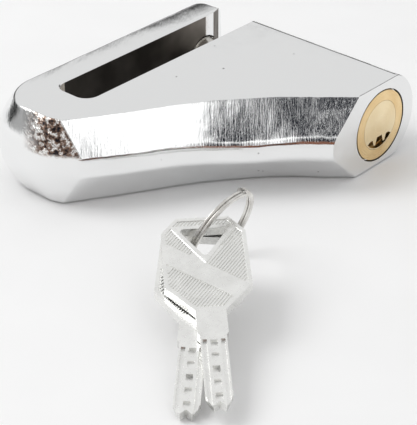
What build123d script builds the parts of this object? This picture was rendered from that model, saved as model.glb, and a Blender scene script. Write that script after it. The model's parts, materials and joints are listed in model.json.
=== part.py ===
from build123d import *
from math import cos, radians, sin, sqrt
import os

os.makedirs("parts", exist_ok=True)

# Disc brake lock, millimetres, +Z up, standing on its bottom face at z = 0.
# x = 0 is the cylinder's axis; +Y runs from the key end to the arm; +X is the slot's mouth.
# The lock is stored locked: cylinder pushed in, pin across the slot.

# ---- lock body ----
THICKNESS = 20.0          # over the two flat faces
BAND_LOW = 8.0            # the upright band between the lower and upper chamfers
BAND_HIGH = 12.0
AXIS_Z = 9.7              # height of the cylinder's axis
KEY_END_Y = -20.5         # the flat end that carries the key face
SLOT_NEAR_Y = 20.5
SLOT_WIDTH = 9.8          # takes the brake disc
SLOT_END_X = -47.8        # closed end of the slot
SLOT_CORNER_R = 3.0
ARM_Y = 36.8              # outer edge of the arm's flat
NOSE_X = -58.5            # outer edge of the nose's flat
NOSE_R = 9.5              # corner between nose and arm
BULGE = 3.0               # how far nose and arm swell out at mid-height
BARREL_ARC_X = 1.4        # centre of the round flank beside the cylinder
BARREL_ARC_R = 10.7
TIP_ARC_X = -2.2          # centre of the round flank of the arm's tip
TIP_ARC_R = 12.5
TIP_ROUND = 2.5           # corners of the arm's tip, in plan

# ---- cylinder unit, with s = distance from the key end along +Y ----
BORE_R = 8.1
BORE_DEPTH = 37.0
HOUSING_R = 8.0
HOUSING_LENGTH = 23.5
SPIGOT_R = 7.0            # the carrier's rim fits over this
SPIGOT_START = 20.5
FLANGE_R = 5.6            # the plug's visible face
FLANGE_LENGTH = 1.2
PLUG_R = 5.1
PLUG_LENGTH = 24.6
SCREW_BORE_START = 22.3   # tapped hole in the plug's tail
TRAVEL = 14.0             # how far the cylinder springs out when unlocked
RUNNING = 0.06            # radial clearance of a running fit

# ---- key way and pin tumblers ----
KEYWAY_HALF = 4.1
KEYWAY_PEAK = -2.7        # top of the keyway, below the plug's axis
KEYWAY_TOOTH = -4.4       # lower end of its two guide ribs
TOOTH_X = 1.65
TUMBLER_STATIONS = (5.0, 8.0, 11.0, 14.0, 17.0)
KEY_PIN_TIPS = (-3.1, -2.6, -3.3, -2.8, -3.0)
TUMBLER_R = 0.95
TUMBLER_HOLE_R = 1.0
DRIVER_TOP = 6.1
CUP_DEPTH = 0.35          # each driver's spring stands in a shallow cup
STRIP_BOTTOM = 7.3
STRIP_START = 3.2         # the strip closes the tumbler holes from above
STRIP_END = 18.8
STRIP_HALF = 1.35
TUMBLER_WIRE_R = 0.11

# ---- guide pin: it keeps the cylinder from turning or falling out ----
GUIDE_S = 4.6
GUIDE_PIN_R = 1.0
GUIDE_SLOT_HALF = 1.08
GUIDE_SLOT_FLOOR = -6.4

# ---- locking pin and its carrier ----
PIN_R = 4.75
PIN_HOLE_R = 4.83
PIN_START = 28.6
PIN_END = 54.8
ARM_HOLE_R = 4.9
ARM_HOLE_END = 55.6
PIN_CHAMFER = 1.1
CARRIER_END = 32.2
CROSS_PIN_R = 1.0
CROSS_PIN_S = 30.4
RIM_PIN_R = 0.7           # two short pins hold the carrier's rim on the housing
RIM_PIN_S = 22.0
RETURN_WIRE_R = 0.4
RETURN_COIL_R = 6.2

# ---- latch in the carrier, worked by a cam on the plug's tail ----
LATCH_BACK = 27.1
LATCH_FRONT = 24.9
LATCH_HALF = 4.4
LATCH_NOSE_X = -9.0
LATCH_NOSE_HALF = 2.0
LATCH_WINDOW_TOP = 3.65
LATCH_SEAT_X = 3.6        # the latch spring stands on this face
POCKET_END_X = 7.2
LATCH_WIRE_R = 0.13
CAM_START = 24.62
CAM_HUB_R = 1.8
CAM_LOBE_R = 0.9
CAM_LOBE_OFFSET = 2.4
SCREW_HEAD_END = 28.0
SCREW_BORE_R = 1.0
CLIP_START = 23.6         # groove behind the housing for the clip
CLIP_END = 24.3
CLIP_GROOVE_R = 4.4

# ---- keys and ring, lying in front of the lock ----
KEY_THICK = 2.0
KEY_LENGTH = 45.5
HEAD_HALF_TOP = 5.0
HEAD_HALF_SHOULDER = 8.0
SHOULDER = 3.9            # how far the shoulder lies below the head's top edge
HEAD_HALF_WIDE = 8.1
HEAD_WIDE_END = 17.5
HEAD_LENGTH = 23.6
NECK_HALF = 2.8
NECK_END = 29.0
BLADE_HALF = 2.4
BLADE_ARC_R = 4.6         # the blade's underside is round
TIP_NOTCH = 1.0
HOLE_HALF = 4.9
HOLE_TOP = 2.9
HOLE_APEX = 10.4
HOLE_CORNER_R = 0.7
GROOVE_WIDTH = 0.8
DIMPLE_WIDTH = 1.3
DIMPLE_START = 2.4        # from the neck's end to the first dimple
DIMPLE_PITCH = 3.0
KEY_TILT = 13.11          # degrees: the heads ride up on the ring's wire
KEY_GAP = 0.3
KEY_FAN = 4.1             # degrees each way from the pair's middle line
PIVOT_BELOW_TOP = 4.0     # the fan's pivot, in the hole beside the top bar
TIP_X = -91.674           # where the pair's tips lie
TIP_Y = -51.530
KEYS_HEADING = (0.744, 0.668)
RING_R = 9.62
RING_WIRE_RADIAL = 0.95
RING_WIRE_AXIAL = 0.62
RING_PITCH = 0.72
RING_NORMAL = (0.0820, -0.9426, -0.3238)
RING_X = -54.81           # where the ring's middle stands
RING_Y = -22.76
RING_TURN = 60.0          # degrees: where the wire's end lies


def save(shape, name):
    shape.label = name
    export_step(shape, f"parts/{name}.step")


def along_y(radius, start, end, x=0.0, z=0.0):
    """A round bar along the lock's cylinder axis, from distance start to end."""
    plane = Plane(origin=(x, KEY_END_Y + start, AXIS_Z + z), x_dir=(1, 0, 0), z_dir=(0, 1, 0))
    return extrude(plane * Circle(radius), amount=end - start)


def block(x0, x1, start, end, z0, z1):
    """A block given by x, distance from the key end, and height about the cylinder axis."""
    low = Vector(x0, KEY_END_Y + start, AXIS_Z + z0)
    high = Vector(x1, KEY_END_Y + end, AXIS_Z + z1)
    middle = (low + high) * 0.5
    size = high - low
    return Pos(middle.X, middle.Y, middle.Z) * Box(size.X, size.Y, size.Z)


def upright(radius, z0, z1, s, x=0.0):
    """A round bar along Z at distance s from the key end; heights are about the axis."""
    plane = Plane(origin=(x, KEY_END_Y + s, AXIS_Z + z0))
    return extrude(plane * Circle(radius), amount=z1 - z0)


def sideways(radius, x0, x1, s, z=0.0):
    """A round bar along X at distance s from the key end."""
    plane = Plane(origin=(x0, KEY_END_Y + s, AXIS_Z + z), x_dir=(0, 1, 0), z_dir=(1, 0, 0))
    return extrude(plane * Circle(radius), amount=x1 - x0)


def coil(mean_r, wire_r, height, turns, plane):
    """A helical spring of round wire, from the plane's origin along its normal."""
    path = Helix(height / turns, height, mean_r)
    section = Plane(origin=path @ 0, z_dir=path % 0) * Circle(wire_r)
    return plane * sweep(section, path=path, is_frenet=True)


# ---- lock body ----

# Front edge of the flat faces, and of the upright band below them, from key end to nose.
FLAT_FRONT = ((-7.9, -20.5), (-12.8, -14.8), (-20.0, -6.5), (-32.0, 3.1), (-44.8, 10.8), (-57.6, 18.8))
BAND_FRONT = ((-16.4, -20.5), (-21.5, -14.8), (-28.6, -8.6), (-38.4, 0.9), (-48.6, 7.6), (-56.9, 13.6))


def outline(front, grow, z):
    """One level of the body: front curve, nose, arm, plain right-hand end, key end."""
    nose = NOSE_X - grow
    arm = ARM_Y + grow
    right = 14.0
    radius = NOSE_R
    corner = 0.0 if grow == 0 else 1.4
    first, last = front[0], front[-1]
    nose_start = (nose, last[1] + 2.4 + corner)
    with BuildLine() as wire:
        Spline(*front)
        Line(last, nose_start)
        Line(nose_start, (nose, arm - radius))
        RadiusArc((nose, arm - radius), (nose + radius, arm), radius)
        Line((nose + radius, arm), (right, arm))
        Line((right, arm), (right, KEY_END_Y))
        Line((right, KEY_END_Y), first)
    return Plane.XY.offset(z) * make_face(wire.line.edges())


def lock_body():
    levels = [
        outline(FLAT_FRONT, 0.0, 0.0),
        outline(BAND_FRONT, BULGE, BAND_LOW),
        outline(BAND_FRONT, BULGE, BAND_HIGH),
        outline(FLAT_FRONT, 0.0, THICKNESS),
    ]
    blank = loft(levels, ruled=True)
    slot_mid = SLOT_NEAR_Y + SLOT_WIDTH / 2
    barrel = block(-70, BARREL_ARC_X, -1, slot_mid - KEY_END_Y, -12, 12)
    barrel += along_y(BARREL_ARC_R, -1, slot_mid - KEY_END_Y, x=BARREL_ARC_X, z=THICKNESS / 2 - AXIS_Z)
    arm = block(-70, TIP_ARC_X, slot_mid - KEY_END_Y, 70, -12, 12)
    arm += along_y(TIP_ARC_R, slot_mid - KEY_END_Y, 70, x=TIP_ARC_X, z=THICKNESS / 2 - AXIS_Z)
    body = blank & (barrel + arm)

    slot_shape = RectangleRounded(80, SLOT_WIDTH, SLOT_CORNER_R)
    slot_plan = Plane.XY.offset(-1) * Pos(SLOT_END_X + 40, slot_mid) * slot_shape
    body -= extrude(slot_plan, amount=THICKNESS + 2)
    far_wall = SLOT_NEAR_Y + SLOT_WIDTH
    tip = [e for e in body.edges() if e.center().X > 2 and e.center().Y > far_wall - 0.1]
    outer = [e for e in tip if e.center().Y > far_wall + 3 and e.bounding_box().size.Z > 3]
    body = fillet(outer, TIP_ROUND)
    inner = [e for e in body.edges() if e.center().X > 2 and abs(e.center().Y - far_wall) < 0.1]
    body = fillet([e for e in inner if e.bounding_box().size.Z > 15], TIP_ROUND)

    body -= along_y(BORE_R, -1, BORE_DEPTH)
    body -= along_y(PIN_HOLE_R, BORE_DEPTH - 1, slot_mid - KEY_END_Y)
    body -= along_y(ARM_HOLE_R, slot_mid - KEY_END_Y, ARM_HOLE_END)
    groove_end = LATCH_BACK + 0.3
    body -= block(-9.3, -6, LATCH_FRONT - TRAVEL - 0.3, groove_end, -2.3, 2.3)
    body -= block(-10.5, -6, LATCH_FRONT - 0.3, groove_end, -2.3, 2.3)
    body -= upright(GUIDE_PIN_R, -AXIS_Z - 1, -6, GUIDE_S)
    return body



def guide_pin():
    return upright(GUIDE_PIN_R, -AXIS_Z + 0.05, GUIDE_SLOT_FLOOR - 0.2, GUIDE_S)


# ---- cylinder unit ----

def cylinder_housing():
    shape = along_y(HOUSING_R, 0.1, SPIGOT_START)
    shape += along_y(SPIGOT_R, SPIGOT_START, HOUSING_LENGTH)
    shape -= along_y(PLUG_R + RUNNING, -1, HOUSING_LENGTH + 1)
    shape -= along_y(FLANGE_R + RUNNING, -1, FLANGE_LENGTH + RUNNING)
    slot_start = GUIDE_S - GUIDE_SLOT_HALF
    slot_end = GUIDE_S + TRAVEL + GUIDE_SLOT_HALF
    shape -= block(-GUIDE_SLOT_HALF, GUIDE_SLOT_HALF, slot_start, slot_end, -HOUSING_R - 1, GUIDE_SLOT_FLOOR)
    shape -= block(-STRIP_HALF, STRIP_HALF, STRIP_START, STRIP_END, STRIP_BOTTOM, HOUSING_R + 1)
    for s in TUMBLER_STATIONS:
        shape -= upright(TUMBLER_HOLE_R, 4.0, STRIP_BOTTOM + 0.1, s)
    for x0, x1 in ((-HOUSING_R, -5.9), (5.9, HOUSING_R)):
        shape -= sideways(RIM_PIN_R, x0, x1, RIM_PIN_S)
    return shape


def pin_cover_strip():
    half = STRIP_HALF - 0.02
    return block(-half, half, STRIP_START + 0.02, STRIP_END - 0.02, STRIP_BOTTOM, HOUSING_R - 0.16)


def driver_pin(s):
    """A hollow brass driver, standing on the shear line with its spring in its cup."""
    shape = upright(TUMBLER_R, PLUG_R + 0.08, DRIVER_TOP, s)
    return shape - upright(0.7, DRIVER_TOP - CUP_DEPTH, DRIVER_TOP + 1, s)


def pin_spring(s):
    low = DRIVER_TOP - CUP_DEPTH + TUMBLER_WIRE_R + 0.03
    high = STRIP_BOTTOM - TUMBLER_WIRE_R - 0.03
    plane = Plane(origin=(0, KEY_END_Y + s, AXIS_Z + low))
    return coil(0.55, TUMBLER_WIRE_R, high - low, 3, plane)


def pin_carrier():
    """Cup behind the cylinder: rim over the spigot, window for the latch, socket for the pin."""
    shape = along_y(HOUSING_R - 0.05, SPIGOT_START + 0.1, CARRIER_END)
    shape -= along_y(SPIGOT_R + 0.03, SPIGOT_START - 1, HOUSING_LENGTH)
    shape -= along_y(6.6, HOUSING_LENGTH - 0.1, PLUG_LENGTH + 0.1)
    shape -= block(-5.5, 5.3, PLUG_LENGTH, LATCH_BACK + 0.15, -4.55, 4.55)
    shape -= block(-9, -5, LATCH_FRONT - 0.1, LATCH_BACK + 0.15, -2.15, 2.15)
    shape -= sideways(1.15, 5.0, POCKET_END_X, (LATCH_FRONT + LATCH_BACK) / 2)
    shape -= along_y(2.3, LATCH_BACK, SCREW_HEAD_END + 0.4)
    shape -= along_y(PIN_R, PIN_START, CARRIER_END + 1)
    shape -= upright(CROSS_PIN_R, -9, 9, CROSS_PIN_S)
    for x0, x1 in ((-9, -6), (6, 9)):
        shape -= sideways(RIM_PIN_R, x0, x1, RIM_PIN_S)
    return shape


def rim_pin(side):
    x0, x1 = sorted((side * 6.0, side * 7.7))
    return sideways(RIM_PIN_R, x0, x1, RIM_PIN_S)


def cross_pin():
    return upright(CROSS_PIN_R, -7.7, 7.7, CROSS_PIN_S)


def locking_pin():
    shape = along_y(PIN_R, PIN_START, PIN_END)
    shape = chamfer(shape.edges().group_by(Axis.Y)[-1], PIN_CHAMFER)
    return shape - upright(CROSS_PIN_R, -9, 9, CROSS_PIN_S)


def return_spring():
    start = CARRIER_END + RETURN_WIRE_R + 0.1
    end = BORE_DEPTH - RETURN_WIRE_R - 0.1
    plane = Plane(origin=(0, KEY_END_Y + start, AXIS_Z), x_dir=(1, 0, 0), z_dir=(0, 1, 0))
    return coil(RETURN_COIL_R, RETURN_WIRE_R, end - start, 4, plane)


# ---- plug unit ----

def keyway():
    """Crescent keyway: floor follows the plug's rim, roof has two ribs hanging down."""
    floor_r = 5.35
    left = (-KEYWAY_HALF, -sqrt(floor_r**2 - KEYWAY_HALF**2))
    right = (KEYWAY_HALF, left[1])
    with BuildLine() as wire:
        RadiusArc(left, right, -floor_r)
        Polyline(
            right,
            (3.3, KEYWAY_PEAK - 0.2),
            (2.4, KEYWAY_PEAK - 0.2),
            (TOOTH_X + 0.25, KEYWAY_TOOTH),
            (TOOTH_X - 0.25, KEYWAY_TOOTH),
            (0.85, KEYWAY_PEAK),
            (-0.85, KEYWAY_PEAK),
            (-TOOTH_X + 0.25, KEYWAY_TOOTH),
            (-TOOTH_X - 0.25, KEYWAY_TOOTH),
            (-2.4, KEYWAY_PEAK - 0.2),
            (-3.3, KEYWAY_PEAK - 0.2),
            left,
        )
    plane = Plane(origin=(0, KEY_END_Y - 1, AXIS_Z), x_dir=(-1, 0, 0), z_dir=(0, 1, 0))
    return extrude(plane * make_face(wire.line.edges()), amount=22.5)


def plug():
    shape = along_y(FLANGE_R, 0.1, FLANGE_LENGTH)
    shape += along_y(PLUG_R, FLANGE_LENGTH, PLUG_LENGTH)
    clip_groove = along_y(PLUG_R + 1, CLIP_START, CLIP_END)
    shape -= clip_groove - along_y(CLIP_GROOVE_R, CLIP_START - 0.1, CLIP_END + 0.1)
    shape -= keyway()
    for s in TUMBLER_STATIONS:
        shape -= upright(TUMBLER_HOLE_R, KEYWAY_PEAK - 0.2, 6, s)
    shape -= along_y(SCREW_BORE_R, SCREW_BORE_START, PLUG_LENGTH + 1)
    return shape


def key_pin(s, tip):
    shape = upright(TUMBLER_R, tip, PLUG_R - 0.1, s)
    return chamfer(shape.edges().group_by(Axis.Z)[0], 0.5)


def plug_clip():
    """Open ring that snaps into the plug's groove behind the housing."""
    start, end = CLIP_START + 0.02, CLIP_END - 0.02
    ring = along_y(6.3, start, end) - along_y(CLIP_GROOVE_R + 0.02, start - 0.1, end + 0.1)
    return ring - block(-3.2, 3.2, start - 0.1, end + 0.1, -8, 0)


def tail_cam():
    start, end = CAM_START, LATCH_BACK - 0.1
    lobe = block(-CAM_LOBE_R, CAM_LOBE_R, start, end, 0, CAM_LOBE_OFFSET)
    lobe += along_y(CAM_LOBE_R, start, end, z=CAM_LOBE_OFFSET)
    shape = along_y(CAM_HUB_R, start, end) + lobe
    return shape - along_y(SCREW_BORE_R, start - 1, end + 1)


def cam_screw():
    shank = along_y(SCREW_BORE_R - 0.02, SCREW_BORE_START + 0.3, LATCH_BACK - 0.08)
    head = along_y(1.7, LATCH_BACK - 0.08, SCREW_HEAD_END)
    return shank + head - block(-0.25, 0.25, SCREW_HEAD_END - 0.4, SCREW_HEAD_END + 0.4, -2, 2)


# ---- latch ----

def latch_bolt():
    frame = block(-5.3, LATCH_SEAT_X, LATCH_FRONT, LATCH_BACK, -LATCH_HALF, LATCH_HALF)
    frame -= block(-3.7, 2.15, LATCH_FRONT - 1, LATCH_BACK + 1, -LATCH_WINDOW_TOP, LATCH_WINDOW_TOP)
    nose = block(LATCH_NOSE_X, -5.2, LATCH_FRONT, LATCH_BACK, -LATCH_NOSE_HALF, LATCH_NOSE_HALF)
    return frame + nose


def latch_spring():
    gap = LATCH_WIRE_R + 0.04
    plane = Plane(
        origin=(LATCH_SEAT_X + gap, KEY_END_Y + (LATCH_FRONT + LATCH_BACK) / 2, AXIS_Z),
        x_dir=(0, 1, 0),
        z_dir=(1, 0, 0),
    )
    return coil(0.8, LATCH_WIRE_R, POCKET_END_X - LATCH_SEAT_X - 2 * gap, 4, plane)


# ---- keys and ring ----

TILT = radians(KEY_TILT)
KEY_UP = Vector(KEYS_HEADING[0] * cos(TILT), KEYS_HEADING[1] * cos(TILT), sin(TILT))
KEY_RIGHT = Vector(KEYS_HEADING[1], -KEYS_HEADING[0], 0).normalized()
KEY_NORMAL = KEY_RIGHT.cross(KEY_UP).normalized()


def key_plane(level, fan):
    """Plane of one key: origin at its head's top edge, y towards the blade's tip is negative."""
    tip = Vector(TIP_X, TIP_Y, 0) + KEY_NORMAL * (level * (KEY_THICK + KEY_GAP))
    pivot = tip + KEY_UP * (KEY_LENGTH - PIVOT_BELOW_TOP)
    turned = KEY_UP.rotate(Axis((0, 0, 0), KEY_NORMAL), fan)
    right = turned.cross(KEY_NORMAL)
    top = pivot + turned * PIVOT_BELOW_TOP
    return Plane(origin=top, x_dir=right, z_dir=KEY_NORMAL)


def key(level, fan):
    half = (
        (HEAD_HALF_TOP, 0.0),
        (HEAD_HALF_SHOULDER, -SHOULDER),
        (HEAD_HALF_WIDE, -HEAD_WIDE_END),
        (NECK_HALF, -HEAD_LENGTH),
        (NECK_HALF, -NECK_END),
        (BLADE_HALF, -NECK_END - 0.6),
        (BLADE_HALF, -KEY_LENGTH + 2.2),
        (BLADE_HALF * 0.45, -KEY_LENGTH),
    )
    notch = (0.0, -KEY_LENGTH + TIP_NOTCH)
    mirrored = [(-x, y) for x, y in reversed(half)]
    plan = make_face(Polyline(*half, notch, *mirrored, close=True).edges())
    hole_line = Polyline((-HOLE_HALF, -HOLE_TOP), (0, -HOLE_APEX), (HOLE_HALF, -HOLE_TOP), close=True)
    hole = make_face(hole_line.edges())
    hole = fillet(hole.vertices(), HOLE_CORNER_R)
    shape = extrude(plan, amount=KEY_THICK) - extrude(hole, amount=KEY_THICK)

    # The blade's underside is a shallow arc, so the section is a crescent.
    low = Plane(origin=(0, -NECK_END - 0.6, 0), x_dir=(1, 0, 0), z_dir=(0, -1, 0))
    round_bar = extrude(low * Pos(0, BLADE_ARC_R) * Circle(BLADE_ARC_R), amount=30)
    keep = extrude(Plane(origin=(0, -NECK_END - 0.6, 0), x_dir=(1, 0, 0), z_dir=(0, 1, 0))
                   * Rectangle(60, 20), amount=60)
    shape = shape & (round_bar + keep)

    # Two side grooves, and dimples of different depth along the middle.
    for x in (-TOOTH_X, TOOTH_X):
        shape -= Pos(x, -NECK_END - 14, KEY_THICK) * Box(GROOVE_WIDTH, 25, 1.2)
    for n, tip in enumerate(KEY_PIN_TIPS):
        depth = 0.45 + 0.5 * (-2.6 - tip)
        y = -NECK_END - DIMPLE_START - DIMPLE_PITCH * n
        shape -= Pos(0, y, KEY_THICK) * Box(DIMPLE_WIDTH, DIMPLE_PITCH / 2, 2 * depth)
    return key_plane(level, fan) * shape


def ring_plane():
    """Plane of the split ring: threaded through both holes, its lowest point on the floor."""
    normal = Vector(*RING_NORMAL).normalized()
    chord = Vector(-normal.Y, normal.X, 0).normalized()
    rise = sqrt(1 - normal.Z**2)
    height = RING_R * rise + abs(normal.Z) * (RING_PITCH + RING_WIRE_AXIAL / 2)
    return Plane(origin=(RING_X, RING_Y, height), x_dir=chord, z_dir=normal)


def split_ring():
    """Two turns of flat wire, wound side by side with the ends overlapping."""
    mean_r = RING_R - RING_WIRE_RADIAL / 2
    path = Helix(RING_PITCH, RING_PITCH * 2.05, mean_r)
    start = Plane(origin=path @ 0, x_dir=(1, 0, 0), z_dir=(0, 1, 0))
    wire = sweep(start * Rectangle(RING_WIRE_RADIAL, RING_WIRE_AXIAL), path=path, is_frenet=True)
    return ring_plane() * Rot(0, 0, RING_TURN) * Pos(0, 0, -RING_PITCH) * wire


def main():
    save(lock_body(), "lock_body")
    save(guide_pin(), "guide_pin")
    save(cylinder_housing(), "cylinder_housing")
    save(pin_cover_strip(), "pin_cover_strip")
    for n, (s, tip) in enumerate(zip(TUMBLER_STATIONS, KEY_PIN_TIPS), start=1):
        save(driver_pin(s), f"driver_pin_{n}")
        save(pin_spring(s), f"pin_spring_{n}")
        save(key_pin(s, tip), f"key_pin_{n}")
    save(pin_carrier(), "pin_carrier")
    save(rim_pin(-1), "rim_pin_left")
    save(rim_pin(1), "rim_pin_right")
    save(cross_pin(), "cross_pin")
    save(locking_pin(), "locking_pin")
    save(return_spring(), "return_spring")
    save(plug(), "plug")
    save(plug_clip(), "plug_clip")
    save(tail_cam(), "tail_cam")
    save(cam_screw(), "cam_screw")
    save(latch_bolt(), "latch_bolt")
    save(latch_spring(), "latch_spring")
    save(split_ring(), "split_ring")
    save(key(1, KEY_FAN), "key_1")
    save(key(0, -KEY_FAN), "key_2")


main()
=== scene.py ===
# %% [markdown]
# # A motorcycle disc brake lock, with its keys
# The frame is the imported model: every part already stands in its place. This lesson gives the parts
# that show their real surface: a chromed body whose chamfers were ground by hand, turned brass in
# the key end, nickel-plated keys, a split ring of flat wire and two springs.

# %% Load the frame
import json
import math
import bmesh
import bpy
import numpy as np
from mathutils import Matrix, Vector, noise


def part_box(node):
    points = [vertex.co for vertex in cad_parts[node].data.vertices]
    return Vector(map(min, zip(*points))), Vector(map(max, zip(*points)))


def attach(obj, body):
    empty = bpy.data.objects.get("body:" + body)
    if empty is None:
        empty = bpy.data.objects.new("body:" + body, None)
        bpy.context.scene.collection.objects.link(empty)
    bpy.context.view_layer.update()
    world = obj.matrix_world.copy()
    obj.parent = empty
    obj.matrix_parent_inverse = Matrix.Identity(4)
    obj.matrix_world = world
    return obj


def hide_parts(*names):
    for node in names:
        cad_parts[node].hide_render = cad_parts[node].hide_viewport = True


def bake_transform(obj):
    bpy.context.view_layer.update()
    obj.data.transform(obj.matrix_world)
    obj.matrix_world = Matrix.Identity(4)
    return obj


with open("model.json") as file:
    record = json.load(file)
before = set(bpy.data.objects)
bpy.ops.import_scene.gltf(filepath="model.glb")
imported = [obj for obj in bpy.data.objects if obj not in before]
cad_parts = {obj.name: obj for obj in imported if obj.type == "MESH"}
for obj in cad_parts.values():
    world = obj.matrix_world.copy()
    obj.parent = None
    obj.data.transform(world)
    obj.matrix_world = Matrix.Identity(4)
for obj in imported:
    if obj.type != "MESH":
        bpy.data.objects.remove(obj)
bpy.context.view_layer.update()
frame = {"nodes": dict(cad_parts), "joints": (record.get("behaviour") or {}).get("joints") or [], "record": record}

MM = 0.001
nodes = frame["nodes"]

# %% [markdown]
# ## The camera
# The lock is seen from its front left, looking down at about thirty degrees. The lens is long, so
# the picture is nearly without perspective, as catalogue pictures are.

# %% Camera
CAMERA_AT = (-0.25339, -0.19760, 0.17590)
CAMERA_LOOKS = (0.63498, 0.56859, -0.52297)
camera_data = bpy.data.cameras.new("camera")
camera_data.lens = 136.8
camera_data.sensor_width = 36.0
camera_data.clip_start = 0.01
camera_data.clip_end = 10.0
camera = bpy.data.objects.new("camera", camera_data)
camera.location = CAMERA_AT
camera.rotation_euler = Vector(CAMERA_LOOKS).to_track_quat("-Z", "Y").to_euler()
bpy.context.collection.objects.link(camera)
bpy.context.scene.camera = camera
print("camera at", CAMERA_AT)

# %% [markdown]
# ## Small helpers
# A mesh is a list of corners and a list of faces. A round part is a loft: closed loops of corners,
# each joined to the next. One helper does both, so that the cells below can stay short.


# %% Mesh helpers
def add_mesh(name, corners, faces, materials=(), smooth_angle=30.0):
    """Makes a mesh object from corners in millimetres."""
    mesh = bpy.data.meshes.new(name)
    mesh.from_pydata([tuple(c) for c in np.asarray(corners, float) * MM], [], faces)
    mesh.validate()
    for material in materials:
        mesh.materials.append(material)
    piece = bpy.data.objects.new(name, mesh)
    bpy.context.collection.objects.link(piece)
    soften(piece, smooth_angle)
    return piece


def soften(piece, angle):
    """Smooth shading, with edges sharper than the angle kept crisp."""
    piece.data.polygons.foreach_set("use_smooth", [True] * len(piece.data.polygons))
    piece.data.set_sharp_from_angle(angle=math.radians(angle))


def loft_faces(loops, corners_each):
    """Quads between loops, and one face over each end."""
    faces = []
    for level in range(loops - 1):
        low, high = level * corners_each, (level + 1) * corners_each
        for n in range(corners_each):
            after = (n + 1) % corners_each
            faces.append((low + n, low + after, high + after, high + n))
    last = (loops - 1) * corners_each
    faces.append(tuple(range(corners_each))[::-1])
    faces.append(tuple(range(last, last + corners_each)))
    return faces


def point_outward(piece):
    """Turns the faces of a closed mesh outwards."""
    grid = bmesh.new()
    grid.from_mesh(piece.data)
    bmesh.ops.remove_doubles(grid, verts=grid.verts, dist=0.002 * MM)
    bmesh.ops.recalc_face_normals(grid, faces=grid.faces)
    grid.to_mesh(piece.data)
    grid.free()


def bake_modifiers(piece):
    """Replaces the mesh with the result of its modifiers, and removes them."""
    depsgraph = bpy.context.evaluated_depsgraph_get()
    made = bpy.data.meshes.new_from_object(piece.evaluated_get(depsgraph))
    piece.modifiers.clear()
    piece.data = made
    return piece


def cut(piece, *cutters):
    """Cuts closed meshes out of a piece, one after the other, and removes them."""
    for cutter in cutters:
        carve = piece.modifiers.new("cut", "BOOLEAN")
        carve.operation = "DIFFERENCE"
        carve.solver = "EXACT"
        carve.object = cutter
        bake_modifiers(piece)
        bpy.data.objects.remove(cutter)
    return piece


print("helpers ready")

# %% [markdown]
# ## Materials
# A real metal is never one flat colour. Each recipe starts with a metal shader and adds what the
# maker's tools left: a slow change of tone, a fine change of gloss, and shallow scratches. All of
# them read object coordinates, in metres, so a scale of 1000 means marks of one millimetre.


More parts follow.
